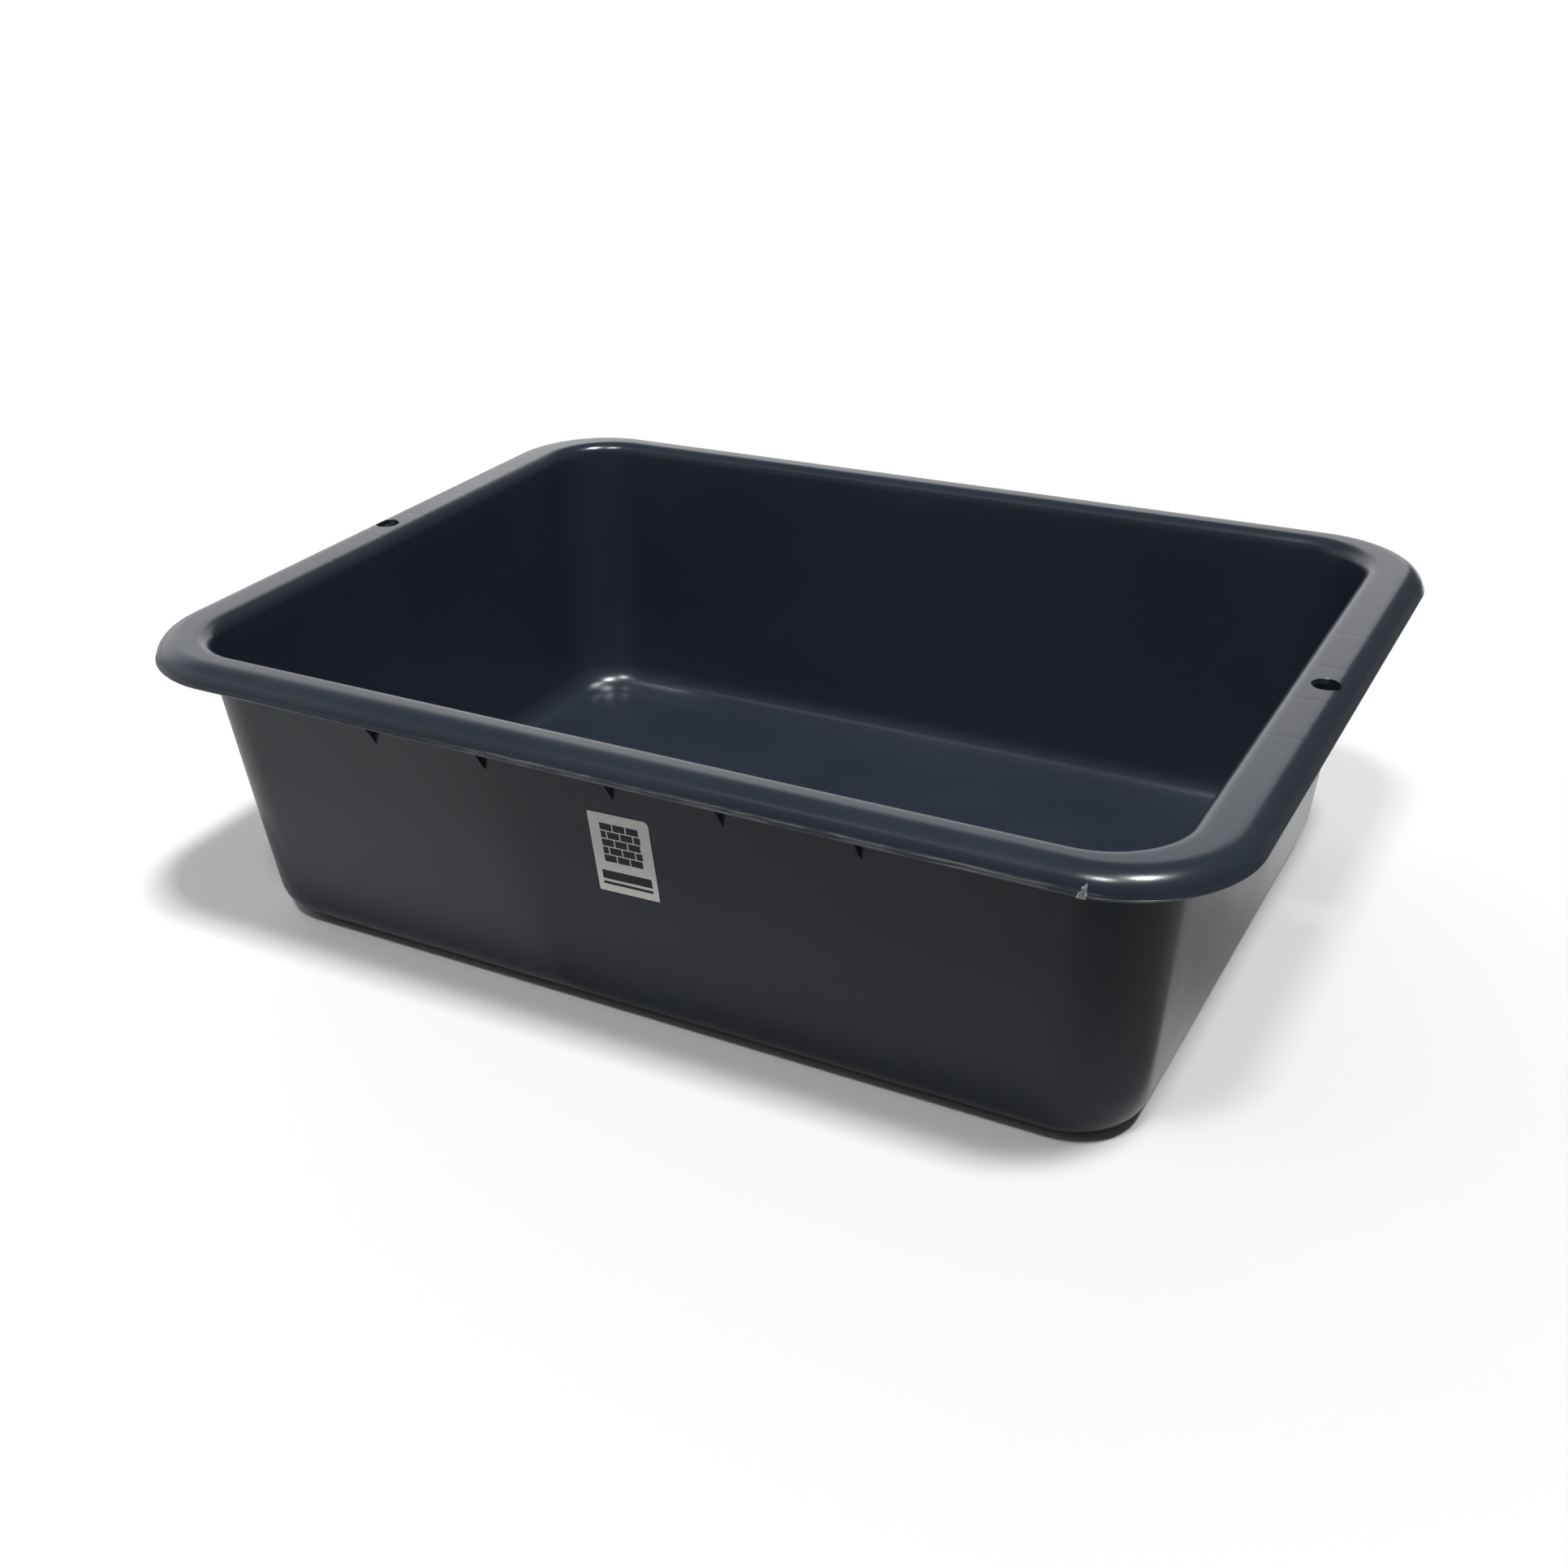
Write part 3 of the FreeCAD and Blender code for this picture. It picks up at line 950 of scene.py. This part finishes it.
def painted_floor_light(tree, place):
    """Light and shade painted on the floor for what the tub mirrors: slanted bands of shade in front of it, a
    bright strip along its right end, and a dark floor beyond that."""
    x, y, _ = node(tree, "SeparateXYZ", Vector=place).outputs
    tone = FLOOR_TONE
    # Bands of painted shade in front of the tub
    for turn, edge, soft, change in FLOOR_SHADE_BANDS:
        along_x = product(tree, x, math.cos(math.radians(turn)))
        along = maths(tree, "ADD", along_x, product(tree, y, math.sin(math.radians(turn))))
        tone = maths(tree, "ADD", ramp(tree, along, edge - soft, edge + soft, 0.0, change), tone)
    # Painted light along the right end, darker beyond its slanted edge
    near, middle, far = FLOOR_SIDE_TONES
    nearer_part = ramp(tree, y, *FLOOR_NEAR_SPAN, near, middle)
    farther_part = ramp(tree, y, *FLOOR_FAR_SPAN, 0.0, far - middle)
    strip = maths(tree, "ADD", nearer_part, farther_part)
    strip = product(tree, strip, ramp(tree, x, *FLOOR_LEFT_SPAN, FLOOR_LEFT_SHARE, 1.0))
    across = maths(tree, "SUBTRACT", x, product(tree, y, FLOOR_SIDE_SLOPE))
    beyond = ramp(tree, across, FLOOR_SIDE_EDGE, FLOOR_SIDE_EDGE + FLOOR_SIDE_SOFT)
    dark = ramp(tree, y, *FLOOR_DARK_SPAN, *FLOOR_DARK_TONES)
    side = blended(tree, beyond, strip, dark)
    return blended(tree, ramp(tree, y, *FLOOR_BESIDE_SPAN), tone, side)


def build_floor():
    """Plain pale floor for the camera, with painted light and shade for everything that mirrors it."""
    corners = [(x * FLOOR_HALF, y * FLOOR_HALF, 0) for x, y in ((-1, -1), (1, -1), (1, 1), (-1, 1))]
    floor = new_object("floor", corners, [(0, 1, 2, 3)])
    material, tree, shader, place = new_material("floor")
    seen = node(tree, "LightPath").outputs["Is Camera Ray"]
    bounce = painted_floor_light(tree, place)
    grey = node(tree, "CombineXYZ", X=bounce, Y=bounce, Z=bounce).outputs[0]
    feed(tree, shader.inputs["Base Color"], mix_colour(tree, seen, grey, (FLOOR_SEEN,) * 3 + (1,)))
    shader.inputs["Roughness"].default_value = 0.9
    shader.inputs["Specular IOR Level"].default_value = 0.1
    add_materials(floor, (material,))


def panel(tree, azimuth, elevation, middle, half_width, low, high, soft, top_soft):
    """Share of light from a soft-edged panel; angles in degrees, azimuth 0 towards -Y and 90 towards +X."""
    turned = maths(tree, "WRAP", maths(tree, "SUBTRACT", azimuth, middle), 180.0, -180.0)
    wide = ramp(tree, maths(tree, "ABSOLUTE", turned), half_width - soft, half_width + soft, 1.0, 0.0)
    bottom = ramp(tree, elevation, low - soft, low + soft)
    top = ramp(tree, elevation, high - top_soft, high + top_soft, 1.0, 0.0)
    return product(tree, wide, bottom, top)


def build_world():
    """Dim surroundings with soft panels of light; the camera itself sees a plain white backdrop."""
    world = bpy.data.worlds.new("studio")
    bpy.context.scene.world = world
    world.use_nodes = True
    tree = world.node_tree
    tree.nodes.clear()
    direction = node(tree, "TexCoord").outputs["Generated"]
    x, y, z = node(tree, "SeparateXYZ", Vector=direction).outputs
    elevation = product(tree, maths(tree, "ARCSINE", z), math.degrees(1))
    front = product(tree, y, -1.0)
    azimuth = product(tree, maths(tree, "ARCTAN2", x, front), math.degrees(1))
    light = AMBIENT
    for radiance, shape in PANELS:
        share = panel(tree, azimuth, elevation, *shape)
        light = maths(tree, "ADD", product(tree, share, radiance), light)
    dim = node(tree, "Background", Strength=light, Color=(1, 1, 1, 1)).outputs[0]
    pale = node(tree, "Background", Strength=1.0, Color=(1, 1, 1, 1)).outputs[0]
    mixed = tree.nodes.new("ShaderNodeMixShader")
    feed(tree, mixed.inputs[0], node(tree, "LightPath").outputs["Is Camera Ray"])
    feed(tree, mixed.inputs[1], dim)
    feed(tree, mixed.inputs[2], pale)
    node(tree, "OutputWorld", Surface=mixed.outputs[0])


def build_camera():
    """Camera a little above the front right corner, looking down across the tub."""
    azimuth, elevation = math.radians(CAMERA_AZIMUTH), math.radians(CAMERA_ELEVATION)
    level = math.cos(elevation)
    back = Vector((math.sin(azimuth) * level, -math.cos(azimuth) * level, math.sin(elevation)))
    right = Vector((-back.y, back.x, 0)).normalized()
    up = back.cross(right)
    roll = math.radians(CAMERA_ROLL)
    rolled_right = right * math.cos(roll) + up * math.sin(roll)
    rolled_up = up * math.cos(roll) - right * math.sin(roll)
    target = Vector((0, 0, HEIGHT / 2)) - rolled_right * CAMERA_AIM[0] - rolled_up * CAMERA_AIM[1]
    data = bpy.data.cameras.new("camera")
    data.sensor_width = 36.0
    data.lens = CAMERA_LENS
    data.shift_x, data.shift_y = CAMERA_SHIFT
    camera = bpy.data.objects.new("camera", data)
    place = Matrix((rolled_right, rolled_up, back)).transposed().to_4x4()
    place.translation = target + back * CAMERA_DISTANCE
    camera.matrix_world = place
    bpy.context.scene.collection.objects.link(camera)
    bpy.context.scene.camera = camera


# ---------------------------------------------------------------- assembly

shell = build_tub()
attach(shell, "root")
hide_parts("tub")

label = build_label()
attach(label, "root")
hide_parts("label")

build_floor()
build_world()
build_camera()
bpy.context.scene.view_settings.view_transform = "Standard"
